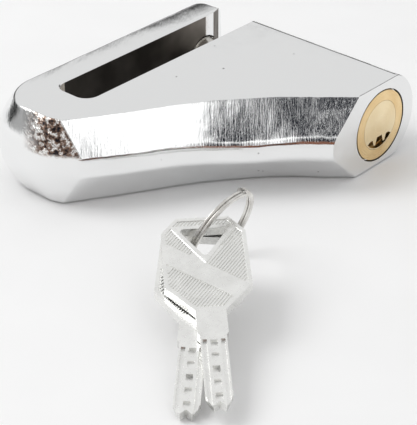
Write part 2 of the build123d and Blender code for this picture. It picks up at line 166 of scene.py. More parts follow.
# %% Material helpers
class Recipe:
    """A node material that starts as plain metal and gathers detail."""

    def __init__(self, name, colour, rough, metallic=1.0):
        self.material = bpy.data.materials.new(name)
        self.material.use_nodes = True
        self.tree = self.material.node_tree
        self.shader = self.tree.nodes["Principled BSDF"]
        self.shader.inputs["Base Color"].default_value = (*colour, 1)
        self.shader.inputs["Roughness"].default_value = rough
        self.shader.inputs["Metallic"].default_value = metallic
        self.place = self.tree.nodes.new("ShaderNodeTexCoord").outputs["Object"]
        self.bump = None

    def link(self, a, b):
        self.tree.links.new(a, b)
        return b

    def moved(self, at=(0, 0, 0), turn=(0, 0, 0), stretch=(1, 1, 1), source=None):
        """The place, moved so that a point becomes the middle, then turned and stretched."""
        shift = self.tree.nodes.new("ShaderNodeVectorMath")
        shift.operation = "SUBTRACT"
        shift.inputs[1].default_value = at
        self.link(source or self.place, shift.inputs[0])
        mapping = self.tree.nodes.new("ShaderNodeMapping")
        mapping.vector_type = "TEXTURE"
        mapping.inputs["Rotation"].default_value = turn
        mapping.inputs["Scale"].default_value = [1 / s if s else 0.0 for s in stretch]
        self.link(shift.outputs[0], mapping.inputs["Vector"])
        return mapping.outputs["Vector"]

    def cloud(self, scale, detail=3.0, rough=0.5, where=None, warp=0.0):
        node = self.tree.nodes.new("ShaderNodeTexNoise")
        node.inputs["Scale"].default_value = scale
        node.inputs["Detail"].default_value = detail
        node.inputs["Roughness"].default_value = rough
        node.inputs["Distortion"].default_value = warp
        self.link(where or self.place, node.inputs["Vector"])
        return node.outputs["Fac"]

    def cells(self, scale, where=None):
        node = self.tree.nodes.new("ShaderNodeTexVoronoi")
        node.inputs["Scale"].default_value = scale
        self.link(where or self.place, node.inputs["Vector"])
        return node.outputs["Distance"]

    def ramp(self, value, low, high, start=0.0, end=1.0):
        node = self.tree.nodes.new("ShaderNodeMapRange")
        node.clamp = True
        for name, number in zip(("From Min", "From Max", "To Min", "To Max"), (low, high, start, end)):
            node.inputs[name].default_value = number
        self.link(value, node.inputs["Value"])
        return node.outputs["Result"]

    def sum(self, a, b, kind="ADD"):
        node = self.tree.nodes.new("ShaderNodeMath")
        node.operation = kind
        for socket, value in zip(node.inputs, (a, b)):
            if isinstance(value, (int, float)):
                socket.default_value = value
            else:
                self.link(value, socket)
        return node.outputs[0]

    def part(self, vector, axis):
        node = self.tree.nodes.new("ShaderNodeSeparateXYZ")
        self.link(vector, node.inputs[0])
        return node.outputs[axis]

    def tones(self, value, *stops):
        """Colour from a value: stops are (position, colour)."""
        node = self.tree.nodes.new("ShaderNodeValToRGB")
        ramp = node.color_ramp
        while len(ramp.elements) < len(stops):
            ramp.elements.new(0.5)
        for element, (position, colour) in zip(ramp.elements, stops):
            element.position = position
            element.color = (*colour, 1)
        self.link(value, node.inputs["Fac"])
        return node.outputs["Color"]

    def blend(self, share, first, second):
        node = self.tree.nodes.new("ShaderNodeMix")
        node.data_type = "RGBA"
        self.link(share, node.inputs["Factor"])
        for socket, value in ((node.inputs[6], first), (node.inputs[7], second)):
            if isinstance(value, tuple):
                socket.default_value = (*value, 1)
            else:
                self.link(value, socket)
        return node.outputs[2]

    def colour(self, value):
        self.link(value, self.shader.inputs["Base Color"])

    def gloss(self, value):
        self.link(value, self.shader.inputs["Roughness"])

    def relief(self, value, height):
        """Adds bumps of a height in metres, on top of the bumps already there."""
        node = self.tree.nodes.new("ShaderNodeBump")
        node.inputs["Distance"].default_value = height
        self.link(value, node.inputs["Height"])
        if self.bump:
            self.link(self.bump, node.inputs["Normal"])
        self.bump = node.outputs["Normal"]
        self.link(self.bump, self.shader.inputs["Normal"])


print("recipes can be written")

# %% [markdown]
# ### Chrome on a hand-ground casting
# Chrome mirrors everything, so its own colour hardly matters. What makes it look real is the ground
# beneath the plating: slow waves from the grinding belt, fine strokes across the chamfers, and a
# few pits on the flat faces. One facet, at the nose, was left as rough as it was cast.

# %% Chrome
FRONT_TURN = math.radians(-48.0)
NOSE_TURN = (0, math.radians(35.0), FRONT_TURN)
# the rough facet's bounds, in millimetres: along the front, square to it, and in height
FACET_SLOPE = 0.56
FACET_RIGHT = (-41.3, -40.9)
FACET_LEFT = (-60.5, -56.5)
FACET_INWARD = (-18.0, -22.0)
FACET_LOW = (12.9, 13.6)
FACET_TOP = (19.9, 19.95)


def nose_share(recipe):
    """Where the casting was left rough: the facet that turns from the front to the nose."""
    turned = recipe.moved(turn=(0, 0, FRONT_TURN), stretch=(1 / MM, 1 / MM, 1 / MM))
    along, inward, height = (recipe.part(turned, axis) for axis in (0, 1, 2))
    slant = recipe.sum(along, recipe.sum(height, FACET_SLOPE, "MULTIPLY"))
    share = recipe.ramp(slant, *FACET_RIGHT, 1.0, 0.0)
    ragged = recipe.sum(height, recipe.sum(recipe.cloud(900, 3.0), 1.6, "MULTIPLY"))
    for value, bounds in ((ragged, FACET_LOW), (along, FACET_LEFT), (inward, FACET_INWARD)):
        share = recipe.sum(share, recipe.ramp(value, *bounds), "MULTIPLY")
    return recipe.sum(share, recipe.ramp(height, *FACET_TOP, 1.0, 0.0), "MULTIPLY")


def chrome_recipe():
    recipe = Recipe("ground_chrome", (0.87, 0.88, 0.88), 0.12)
    along_front = recipe.moved(turn=(0, 0, FRONT_TURN), stretch=(1.0, 0.10, 0.10))
    strokes = recipe.cloud(2300, 4.0, 0.7, along_front)
    waves = recipe.cloud(110, 2.0, 0.4)
    pits = recipe.ramp(recipe.cells(330), 0.03, 0.10)
    rare = recipe.ramp(recipe.cloud(170, 1.0), 0.56, 0.66)
    pits = recipe.sum(1.0, recipe.sum(recipe.sum(1.0, pits, "SUBTRACT"), rare, "MULTIPLY"), "SUBTRACT")
    recipe.relief(waves, 0.00010)
    recipe.relief(strokes, 0.000045)
    recipe.relief(pits, 0.00005)
    rough_cast = nose_share(recipe)
    scales = recipe.cloud(1100, 3.0, 0.6, recipe.moved(turn=NOSE_TURN, stretch=(1.0, 0.35, 1.0)), warp=0.6)
    recipe.relief(recipe.sum(scales, rough_cast, "MULTIPLY"), 0.00045)
    recipe.gloss(recipe.ramp(recipe.cloud(420, 4.0), 0.3, 0.7, 0.05, 0.13))
    bright = recipe.tones(pits, (0.0, (0.25, 0.24, 0.23)), (1.0, (0.88, 0.885, 0.885)))
    mottled = recipe.tones(recipe.cloud(900, 3.0, 0.6), (0.36, (0.02, 0.02, 0.025)),
                           (0.50, (0.30, 0.20, 0.15)), (0.58, (0.85, 0.84, 0.82)))
    recipe.colour(recipe.blend(rough_cast, bright, mottled))
    return recipe.material


def milled_recipe():
    """The slot's walls: cut by a milling tool, then plated thinly."""
    recipe = Recipe("milled_steel", (0.62, 0.59, 0.55), 0.4, metallic=0.1)
    across = recipe.moved(stretch=(1.0, 0.06, 0.06))
    ridges = recipe.cloud(3200, 3.0, 0.7, across)
    recipe.relief(ridges, 0.00003)
    recipe.gloss(recipe.ramp(recipe.cloud(500, 3.0), 0.3, 0.7, 0.38, 0.55))
    recipe.colour(recipe.tones(ridges, (0.30, (0.52, 0.45, 0.38)), (0.62, (0.95, 0.90, 0.82))))
    return recipe.material


def bore_shade_recipe():
    """Inside the bores, where the plating doesn't reach: dull steel, its dark colour painted shade in the holes.
    """
    recipe = Recipe("bored_steel_painted_shade", (0.18, 0.17, 0.16), 0.45)
    rings = recipe.cloud(2500, 2.0, 0.5, recipe.moved(stretch=(0.05, 1.0, 0.05)))
    recipe.relief(rings, 0.00002)
    # dark tones for the bore walls: painted shade in the holes, over the dull steel
    recipe.colour(recipe.tones(rings, (0.3, (0.12, 0.11, 0.10)), (0.7, (0.28, 0.26, 0.24))))
    return recipe.material


chrome = chrome_recipe()
milled = milled_recipe()
bored_shaded = bore_shade_recipe()
print("chrome, milled and bored finishes made")

# %% [markdown]
# ### Brass, steel and nickel
# The key end is turned brass, so its marks are circles round the cylinder's axis. The distance from
# that axis, fed into fine noise, gives them. The pins and springs inside are plain ground steel.

# %% Brass, steel and nickel
AXIS_Z = (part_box("plug")[0][2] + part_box("plug")[1][2]) / 2


def turned_recipe(name, dark, light, rough):
    recipe = Recipe(name, light, rough)
    flat = recipe.moved(at=(0, 0, AXIS_Z), stretch=(1, 0, 1))
    length = recipe.tree.nodes.new("ShaderNodeVectorMath")
    length.operation = "LENGTH"
    recipe.link(flat, length.inputs[0])
    combine = recipe.tree.nodes.new("ShaderNodeCombineXYZ")
    recipe.link(length.outputs["Value"], combine.inputs[0])
    circles = recipe.cloud(9000, 2.0, 0.6, combine.outputs[0])
    tone = recipe.cloud(260, 3.0)
    recipe.relief(circles, 0.000008)
    recipe.colour(recipe.tones(tone, (0.3, dark), (0.7, light)))
    recipe.gloss(recipe.ramp(circles, 0.3, 0.7, rough - 0.06, rough + 0.08))
    return recipe.material


def steel_recipe(name, dark, light, rough, stretch):
    recipe = Recipe(name, light, rough)
    marks = recipe.cloud(4000, 2.0, 0.6, recipe.moved(stretch=stretch))
    recipe.relief(marks, 0.000008)
    recipe.colour(recipe.tones(recipe.cloud(300, 3.0), (0.3, dark), (0.7, light)))
    recipe.gloss(recipe.ramp(marks, 0.3, 0.7, rough - 0.06, rough + 0.08))
    return recipe.material


housing_brass = turned_recipe("housing_brass", (0.84, 0.60, 0.30), (0.95, 0.73, 0.41), 0.28)
plug_brass = turned_recipe("plug_brass", (0.88, 0.70, 0.42), (0.97, 0.82, 0.55), 0.24)
ground_steel = steel_recipe("ground_steel", (0.52, 0.50, 0.47), (0.74, 0.72, 0.68), 0.24, (1, 0.1, 1))
spring_steel = steel_recipe("spring_steel", (0.42, 0.42, 0.42), (0.62, 0.62, 0.61), 0.3, (1, 1, 1))
ring_steel = steel_recipe("ring_steel", (0.55, 0.53, 0.50), (0.80, 0.79, 0.76), 0.22, (0.3, 0.3, 1))
key_nickel = steel_recipe("key_nickel", (0.84, 0.84, 0.82), (0.93, 0.93, 0.91), 0.30, (0.3, 0.3, 1))

FINISHES = {
    "ring_brass": housing_brass,
    "plug_brass": plug_brass,
    "pin_steel": ground_steel,
    "inner_steel": spring_steel,
}
finished = [entry for entry in frame["record"]["subparts"] if entry["material_slot"] in FINISHES]
for entry in finished:
    piece = nodes[entry["node"]]
    piece.data.materials.clear()
    piece.data.materials.append(FINISHES[entry["material_slot"]])
print("finishes given to", len(finished), "parts")

# %% [markdown]
# ## The lock body
# The real body is cast or forged, ground on a belt, then chromed. Its flat faces are narrower than
# its middle: the curved front falls away in a wide chamfer to an upright band, and the nose and arm
# swell a little. So the body is a stack of outlines, one per height, each between the outline of
# the flat faces and that of the band. Working it out by a rule gives clean, even reflections.

# %% Body sizes, in millimetres
THICKNESS = 20.0
BAND_LOW = 8.0
KEY_END_Y = -20.5
SLOT_NEAR, SLOT_FAR = 20.5, 30.3
SLOT_END_X, SLOT_CORNER = -47.8, 3.0
ARM_Y, NOSE_X, BULGE = 36.8, -58.5, 3.0
BARREL_ARC_X, BARREL_ARC_R = 1.4, 10.7
TIP_ARC_X, TIP_ARC_R = -2.2, 12.5
CREASE_RIGHT, CREASE_LEFT = 0.17, 0.06   # half width of the turn into the band, as a share of BAND_LOW
FRONT_CORNERS = 150
FLAT_FRONT = ((-7.9, -20.5), (-12.8, -14.8), (-20.0, -6.5), (-32.0, 3.1), (-44.8, 10.8), (-57.6, 18.8))
BAND_FRONT = ((-16.4, -20.5), (-21.5, -14.8), (-28.6, -8.6), (-38.4, 0.9), (-48.6, 7.6), (-56.9, 13.6))
EDGE_ROUND = 0.45


def smooth_curve(points, count):
    """Points spaced evenly along a smooth curve through the given ones (Catmull-Rom)."""
    points = np.asarray(points, float)
    ends = (2 * points[0] - points[1], *points, 2 * points[-1] - points[-2])
    dense = []
    for a, b, c, d in zip(ends, ends[1:], ends[2:], ends[3:]):
        for t in np.linspace(0, 1, 40, endpoint=False):
            dense.append(0.5 * (2 * b + (c - a) * t + (2 * a - 5 * b + 4 * c - d) * t**2
                                + (3 * b - a - 3 * c + d) * t**3))
    dense.append(points[-1])
    dense = np.array(dense)
    travelled = np.r_[0, np.cumsum(np.linalg.norm(np.diff(dense, axis=0), axis=1))]
    wanted = np.linspace(0, travelled[-1], count)
    return np.stack([np.interp(wanted, travelled, dense[:, k]) for k in (0, 1)], 1)


def rounded(before, corner, after, radius, count=10):
    """An arc that rounds one corner of an outline."""
    before, corner, after = (np.asarray(p, float) for p in (before, corner, after))
    back = (before - corner) / np.linalg.norm(before - corner)
    ahead = (after - corner) / np.linalg.norm(after - corner)
    half = math.acos(np.clip(back @ ahead, -1, 1)) / 2
    reach = radius / math.tan(half)
    middle = corner + (back + ahead) / np.linalg.norm(back + ahead) * radius / math.sin(half)
    first, last = corner + back * reach - middle, corner + ahead * reach - middle
    sweep = math.pi - 2 * half
    sign = 1 if first[0] * last[1] - first[1] * last[0] > 0 else -1
    angles = np.linspace(0, sign * sweep, count)
    turned = [(math.cos(a) * first[0] - math.sin(a) * first[1],
               math.sin(a) * first[0] + math.cos(a) * first[1]) for a in angles]
    return middle + np.array(turned)


def outline(z):
    """The body's outline at one height."""
    depth = min(z, THICKNESS - z)
    swell = math.sin(min(1.0, depth / BAND_LOW) * math.pi / 2)
    soft = np.linspace(CREASE_RIGHT, CREASE_LEFT, FRONT_CORNERS)[:, None]
    straight = np.full_like(soft, depth / BAND_LOW)
    turning = 1 - (1 + soft - straight) ** 2 / (4 * soft)
    fall = np.where(straight > 1 + soft, 1.0, np.where(straight < 1 - soft, straight, turning))
    flat_front, band_front = smooth_curve(FLAT_FRONT, FRONT_CORNERS), smooth_curve(BAND_FRONT, FRONT_CORNERS)
    front = flat_front * (1 - fall) + band_front * fall
    off = z - THICKNESS / 2
    barrel_x = BARREL_ARC_X + math.sqrt(BARREL_ARC_R**2 - off**2)
    tip_x = TIP_ARC_X + math.sqrt(TIP_ARC_R**2 - off**2)
    nose, arm = NOSE_X - BULGE * swell, ARM_Y + BULGE * swell
    middle = (SLOT_NEAR + SLOT_FAR) / 2
    low = np.array((nose, front[-1][1] + 2.6 + 4.5 * float(fall[-1, 0])))
    parts = [
        front,
        rounded(front[-1], low, (nose, arm), 6.0 + 6.0 * swell),
        rounded(low, (nose, arm), (tip_x, arm), 9.5 + swell, 24),
        rounded((nose, arm), (tip_x, arm), (tip_x, middle), 2.6 + 1.4 * swell, 12),
        np.array([(tip_x, middle), (barrel_x, middle)]),
        rounded((barrel_x, middle), (barrel_x, KEY_END_Y), front[0], 0.5, 6),
    ]
    return np.concatenate(parts)


print("outline corners:", len(outline(10.0)))

# %% [markdown]
# The edges between the flats and the sides are broken by the belt, so the last half millimetre of
# each side turns over in a small round. Here the outline steps inwards by the amount that a round
# would take off.


# %% Body blank
def inset(points, amount):
    """Moves a closed outline inwards, square to itself."""
    ahead = np.roll(points, -1, axis=0) - np.roll(points, 1, axis=0)
    ahead /= np.linalg.norm(ahead, axis=1)[:, None]
    area = np.sum(points[:, 0] * np.roll(points[:, 1], -1) - points[:, 1] * np.roll(points[:, 0], -1))
    inward = np.stack([-ahead[:, 1], ahead[:, 0]], 1) * (1 if area > 0 else -1)
    return points + inward * amount


def dense_outline(z, template):
    """An outline with corners at the same shares of each stretch as the template."""
    points = outline(z)
    out = []
    for n, count in enumerate(template):
        a, b = points[n], points[(n + 1) % len(points)]
        out.extend(a + (b - a) * k / count for k in range(count))
    return np.array(out)


def body_blank():
    base = outline(THICKNESS / 2)
    gaps = np.linalg.norm(np.roll(base, -1, axis=0) - base, axis=1)
    template = [max(1, int(round(g / 1.2))) for g in gaps]
    steps = EDGE_ROUND * (1 - np.cos(np.linspace(0, math.pi / 2, 6)))
    side = [*np.linspace(EDGE_ROUND, 6.4, 14)[1:], *np.linspace(6.6, 9.4, 14), 10.0]
    side += [THICKNESS - z for z in side[-2::-1]]
    heights = [*steps, *side, *(THICKNESS - steps[::-1])]
    corners = []
    for z in heights:
        depth = min(z, THICKNESS - z)
        turn = max(0.0, EDGE_ROUND - depth)
        take = EDGE_ROUND - math.sqrt(max(0.0, EDGE_ROUND**2 - turn**2))
        level = inset(dense_outline(z, template), take)
        corners.extend((x, y, z) for x, y in level)
    count = len(corners) // len(heights)
    blank = add_mesh("lock_shell", corners, loft_faces(len(heights), count), (chrome, milled, bored_shaded))
    point_outward(blank)
    print("blank:", len(heights), "levels of", count, "corners")
    return blank


shell = body_blank()

# %% [markdown]
# Hand grinding never leaves a true surface. Slow noise, up to a tenth of a millimetre deep, moves
# the sides inwards and leaves the flat faces alone. It is what makes the mirrored shapes wander.

# %% Ground waves
WAVE_DEPTH = 0.10
LONG_WAVE, SHORT_WAVE = 0.16, 0.45   # waves to a millimetre
SHORT_SHARE = 0.45


def ground_waves(piece):
    for vertex in piece.data.vertices:
        side = 1.0 - abs(vertex.normal.z) ** 6
        place = vertex.co / MM
        short = noise.noise(place * SHORT_WAVE + Vector((9, 3, 5)))
        wander = noise.noise(place * LONG_WAVE) + SHORT_SHARE * short
        vertex.co += vertex.normal * (side * min(0.0, wander - 0.2) * WAVE_DEPTH * MM)


ground_waves(shell)
print("sides ground by up to", WAVE_DEPTH, "mm")

# %% [markdown]
# ## Slot and bores
# The slot is milled right through, so its ends are round-cornered and its edges are chamfered by a
# quick pass of the file. The cylinder's bore, the pins' holes and the latch's groove are cut in turn:
# each cutter is a closed mesh, and the exact solver takes it out.

# %% Cutters
FILED = 0.3


def slot_plan(grow):
    """The slot from above, grown by the filed edge, with the inner tip of the arm ground round."""
    near, far, end = SLOT_NEAR - grow, SLOT_FAR + grow, SLOT_END_X - grow
    radius = SLOT_CORNER + grow
    return np.concatenate([
        [(20.0, near)],
        rounded((20.0, near), (end, near), (end, far), radius, 12),
        rounded((end, near), (end, far), (0.2, far), radius, 12),
        [(0.2, far), (3.0, far + 0.15), (5.5, far + 0.8), (7.6, far + 2.0)],
        [(9.2, far + 3.6), (20.0, far + 9.0)],
    ])


def slot_cutter():
    levels = [(-1.0, FILED + 1.0), (0.0, FILED), (FILED, 0.0),
              (THICKNESS - FILED, 0.0), (THICKNESS, FILED), (THICKNESS + 1.0, FILED + 1.0)]
    corners = [(x, y, z) for z, grow in levels for x, y in slot_plan(grow)]
    count = len(corners) // len(levels)
    cutter = add_mesh("slot_cutter", corners, loft_faces(len(levels), count))
    point_outward(cutter)
    return cutter


def lathe(name, profile, sides=96):
    """A round mesh on the cylinder's axis; profile is (distance from the key end, radius)."""
    corners = []
    for s, radius in profile:
        for n in range(sides):
            a = 2 * math.pi * n / sides
            corners.append((radius * math.cos(a), KEY_END_Y + s, AXIS_Z / MM + radius * math.sin(a)))
    made = add_mesh(name, corners, loft_faces(len(profile), sides))
    point_outward(made)
    return made


def block(name, low, high):
    x, y, z = zip(low, high)
    corners = [(a, b, c) for c in z for a, b in ((x[0], y[0]), (x[1], y[0]), (x[1], y[1]), (x[0], y[1]))]
    made = add_mesh(name, corners, loft_faces(2, 4))
    point_outward(made)
    return made


BORE = ((-1.0, 8.36), (1.2, 8.36), (1.3, 8.1), (37.0, 8.1), (37.0, 4.83), (40.7, 4.83), (41.4, 5.5),
        (50.4, 5.6), (51.1, 4.9), (55.6, 4.9), (56.6, 3.0))
LATCH_GROOVE = ((-9.3, -9.9, 7.4), (-6.0, 6.9, 12.0))
LATCH_POCKET = ((-10.5, 4.1, 7.4), (-6.0, 6.9, 12.0))
GUIDE_FROM_END, GUIDE_R, GUIDE_TOP = 4.6, 1.0, 3.4


def upright_bar(name, x, y, radius, low, high, sides=24):
    turns = [2 * math.pi * n / sides for n in range(sides)]
    corners = [(x + radius * math.cos(a), y + radius * math.sin(a), z) for z in (low, high) for a in turns]
    made = add_mesh(name, corners, loft_faces(2, sides))
    point_outward(made)
    return made


cut(shell, slot_cutter(), lathe("bore_cutter", BORE), block("groove_cutter", *LATCH_GROOVE),
    block("pocket_cutter", *LATCH_POCKET),
    upright_bar("guide_cutter", 0.0, KEY_END_Y + GUIDE_FROM_END, GUIDE_R, -1.0, GUIDE_TOP))
print("shell cut:", len(shell.data.polygons), "faces")

# %% [markdown]
# The cut walls were never ground, so they take other finishes: milled in the slot, dull in the bores,
# where a dark colour also paints the shade in the holes. A face knows which it is from its place.


# %% Finishes on the cut walls
MILLED, BORED_SHADED = 1, 2   # places in the shell's list of finishes, after the chrome
NEAR = 0.05


def wall_finish(piece):
    for face in piece.data.polygons:
        x, y, z = face.center / MM
        away = math.hypot(x, z - AXIS_Z / MM)
        in_bore = away < 9.2 and KEY_END_Y + NEAR < y < SLOT_NEAR - 0.5 and abs(face.normal.y) < 0.9
        in_pin_hole = away < 5.0 and y > SLOT_NEAR - 4
        in_slot = SLOT_END_X - 2 * NEAR < x < 0.3 and SLOT_NEAR - NEAR < y < SLOT_FAR + NEAR
        on_near_wall = abs(y - SLOT_NEAR) < NEAR and face.normal.y > 0.9
        # walls of the bores and the pin hole get the dark finish, painted shade in the holes
        if in_bore or in_pin_hole:
            face.material_index = BORED_SHADED
        elif on_near_wall or (in_slot and abs(face.normal.z) < 0.4):
            face.material_index = MILLED


wall_finish(shell)
soften(shell, 24.0)
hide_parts("lock_body")
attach(shell, "shell")
print("shell finished")

# %% [markdown]
# ## The keys
# Each key is stamped from plate and plated with nickel. The head has a plain rim, a smooth band
# from corner to corner, and fine ridges on both sides of it for grip. The blade has two grooves and
# a row of dimples, which lift the tumblers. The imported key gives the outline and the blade; a
# shallow recess and the ridges are added here.

# %% Where each key lies
swing = {j["name"]: j for j in frame["joints"]}["front_key_swing"]
KEY_NORMAL = Vector(swing["axis"]).normalized()
HEADING = Vector((-KEY_NORMAL.x, -KEY_NORMAL.y, 0)).normalized()
RIGHT = Vector((HEADING.y, -HEADING.x, 0))
UP = KEY_NORMAL.cross(RIGHT).normalized()
PIVOT = Vector(swing["pos_m"])
KEY_STEP, FAN, PIVOT_BELOW_TOP = 2.3 * MM, math.radians(4.1), 4.0 * MM


def key_frame(level, fan):
    """Matrix from a key's own millimetres, with its top edge at y = 0, to its place."""
    up = Matrix.Rotation(fan, 3, KEY_NORMAL) @ UP
    right = up.cross(KEY_NORMAL)
    top = PIVOT + KEY_NORMAL * (KEY_STEP * level) + up * PIVOT_BELOW_TOP
    turn = Matrix((right, up, KEY_NORMAL)).transposed().to_4x4()
    return Matrix.Translation(top) @ turn @ Matrix.Diagonal((MM, MM, MM, 1))


KEYS = {"key_1": (key_frame(1, FAN), "front_key"), "key_2": (key_frame(0, -FAN), "back_key")}
for name, (matrix, body) in KEYS.items():
    print(name, "top edge at", [round(v / MM, 1) for v in matrix.translation])

# %% [markdown]
# The recess is the head's outline, stepped in by the rim's width, less the band and a margin round
# the hole. Its floor carries the ridges. A point test says what is recess, and each ridge is the
# longest run of a slanted line inside it.

# %% Head pattern
HEAD = [(5.0, 0.0), (8.0, -3.9), (8.1, -17.5), (2.8, -23.6), (-2.8, -23.6), (-8.1, -17.5),
        (-8.0, -3.9), (-5.0, 0.0)]
HOLE = [(-4.9, -2.9), (4.9, -2.9), (0.0, -10.4)]
RIM_LINE = [(4.7, -0.75), (7.3, -4.1), (7.4, -17.25), (2.5, -22.8), (-2.5, -22.8), (-7.4, -17.25),
            (-7.3, -4.1), (-4.7, -0.75)]
RIM, HOLE_MARGIN, BAND_SLOPE, BAND_MIDDLE, BAND_HALF = 0.75, 0.9, -0.75, -14.6, 2.1
RIDGE_SLOPE, RIDGE_PITCH, RIDGE_STEP, RIDGE_MARGIN, SHORTEST_RIDGE = 1.35, 0.55, 0.1, 0.15, 9
HEAD_MIDDLE, HEAD_REACH = (0, -13.0), 26
KEY_THICK, RECESS = 2.0, 0.18


def edge_distance(point, polygon):
    """Signed distance from a polygon's edge, positive inside, for points in an array."""
    best = np.full(len(point), np.inf)
    inside = np.zeros(len(point), bool)
    for (ax, ay), (bx, by) in zip(polygon, polygon[1:] + polygon[:1]):
        along = np.array((bx - ax, by - ay))
        t = np.clip(((point - (ax, ay)) @ along) / (along @ along), 0, 1)
        best = np.minimum(best, np.linalg.norm(point - (ax, ay) - t[:, None] * along, axis=1))
        crosses = (ay > point[:, 1]) != (by > point[:, 1])
        at = ax + (point[:, 1] - ay) * (bx - ax) / (by - ay + 1e-12)
        inside ^= crosses & (point[:, 0] < at)
    return np.where(inside, best, -best)


def in_recess(point, margin=0.0):
    band = np.abs(point[:, 1] - BAND_MIDDLE - BAND_SLOPE * point[:, 0]) / math.hypot(1, BAND_SLOPE)
    return ((edge_distance(point, HEAD) > RIM + margin) & (band > BAND_HALF + margin)
            & (edge_distance(point, HOLE) < -HOLE_MARGIN - margin))


def ridge_lines():
    """Ends of each ridge, in the key's own millimetres."""
    along = np.array((1.0, RIDGE_SLOPE)) / math.hypot(1, RIDGE_SLOPE)
    across = np.array((-along[1], along[0]))
    found = []
    for offset in np.arange(-24, 24, RIDGE_PITCH):
        t = np.arange(-HEAD_REACH, HEAD_REACH, RIDGE_STEP)
        line = np.array(HEAD_MIDDLE) + across * offset + along * t[:, None]
        inside = in_recess(line, RIDGE_MARGIN).astype(int)
        starts = np.flatnonzero(np.diff(np.r_[0, inside]) == 1)
        ends = np.flatnonzero(np.diff(np.r_[inside, 0]) == -1)
        found += [(line[a], line[b]) for a, b in zip(starts, ends) if b - a >= SHORTEST_RIDGE]
    return found


RIDGES = ridge_lines()
print("ridges on a face:", len(RIDGES))

# %% [markdown]
# Geometry Nodes turns the lines into ridges: each line becomes a curve, and a small six-sided
# profile is swept along it. The tree takes the profile's size as named inputs, so one tree serves
# both faces of both keys.


# %% Ridge tree
def tree_with_inputs(name, inputs):
    """A geometry node group with float inputs; returns it, its input node and socket names."""
    group = bpy.data.node_groups.new(name, "GeometryNodeTree")
    group.interface.new_socket("Geometry", in_out="INPUT", socket_type="NodeSocketGeometry")
    group.interface.new_socket("Geometry", in_out="OUTPUT", socket_type="NodeSocketGeometry")
    names = {}
    for label, kind in inputs.items():
        names[label] = group.interface.new_socket(label, in_out="INPUT", socket_type=kind).identifier
    return group, group.nodes.new("NodeGroupInput"), group.nodes.new("NodeGroupOutput"), names


def finish_tree(group, shape, entry, output):
    """Ends a tree in Realize Instances and Set Material."""
    real = group.nodes.new("GeometryNodeRealizeInstances")
    coat = group.nodes.new("GeometryNodeSetMaterial")
    group.links.new(shape, real.inputs[0])
    group.links.new(real.outputs[0], coat.inputs["Geometry"])
    group.links.new(entry.outputs["Material"], coat.inputs["Material"])
    group.links.new(coat.outputs[0], output.inputs[0])


def ridge_tree():
    group, entry, output, names = tree_with_inputs(
        "ridges",
        {"Width": "NodeSocketFloat", "Height": "NodeSocketFloat", "Material": "NodeSocketMaterial"})
    curve = group.nodes.new("GeometryNodeMeshToCurve")
    profile = group.nodes.new("GeometryNodeCurvePrimitiveCircle")
    profile.inputs["Resolution"].default_value = 6
    profile.inputs["Radius"].default_value = 0.5
    size = group.nodes.new("GeometryNodeTransform")
    scale = group.nodes.new("ShaderNodeCombineXYZ")
    group.links.new(entry.outputs["Width"], scale.inputs[1])
    group.links.new(entry.outputs["Height"], scale.inputs[0])
    group.links.new(profile.outputs["Curve"], size.inputs["Geometry"])
    group.links.new(scale.outputs[0], size.inputs["Scale"])
    sweep = group.nodes.new("GeometryNodeCurveToMesh")
    sweep.inputs["Fill Caps"].default_value = True
    group.links.new(entry.outputs["Geometry"], curve.inputs[0])
    group.links.new(curve.outputs[0], sweep.inputs["Curve"])
    group.links.new(size.outputs[0], sweep.inputs["Profile Curve"])
    finish_tree(group, sweep.outputs[0], entry, output)
    return group, names


RIDGE_TREE, RIDGE_INPUTS = ridge_tree()


def grow(piece, group, names, **values):
    """Runs a tree on a piece and keeps the plain mesh that it makes."""
    modifier = piece.modifiers.new(group.name, "NODES")
    modifier.node_group = group
    for label, value in values.items():
        modifier[names[label.replace("_", " ")]] = value
    return bake_modifiers(piece)


def key_ridges(name, matrix):
    corners, edges = [], []
    for z in (RECESS, KEY_THICK - RECESS):
        for a, b in RIDGES:
            edges.append((len(corners), len(corners) + 1))
            corners += [(*a, z), (*b, z)]
    mesh = bpy.data.meshes.new(name)
    mesh.from_pydata([tuple(matrix @ Vector(c)) for c in corners], edges, [])
    ridges = bpy.data.objects.new(name, mesh)
    bpy.context.collection.objects.link(ridges)
    grow(ridges, RIDGE_TREE, RIDGE_INPUTS, Width=0.40 * MM, Height=0.30 * MM, Material=key_nickel)
    soften(ridges, 50.0)
    return ridges


print("ridge tree inputs:", sorted(RIDGE_INPUTS))

# %% [markdown]
# The recess cutters are flat plates, one above the band and one below it. Each is the rim's inner
# line, cut off straight at the band's edge. A collar round the hole is kept out of the cut.


# %% Key bodies
def recess_sides():
    """The two recessed fields as polygons: above the band, and below it."""
    fields = []
    for side in (1, -1):
        limit = BAND_HALF * math.hypot(1, BAND_SLOPE)
        kept = []
        for a, b in zip(RIM_LINE, RIM_LINE[1:] + RIM_LINE[:1]):
            da, db = (side * (p[1] - BAND_MIDDLE - BAND_SLOPE * p[0]) - limit for p in (a, b))
            if da > 0:
                kept.append(a)
            if da * db < 0:
                t = da / (da - db)
                kept.append((a[0] + (b[0] - a[0]) * t, a[1] + (b[1] - a[1]) * t))
        fields.append(kept)
    return fields


def plate(name, polygon, low, high, matrix):
    count = len(polygon)
    corners = [(x, y, z) for z in (low, high) for x, y in polygon]
    made = add_mesh(name, corners, loft_faces(2, count))
    made.data.transform(Matrix.Diagonal((1 / MM, 1 / MM, 1 / MM, 1)))
    made.data.transform(matrix)
    point_outward(made)
    return made


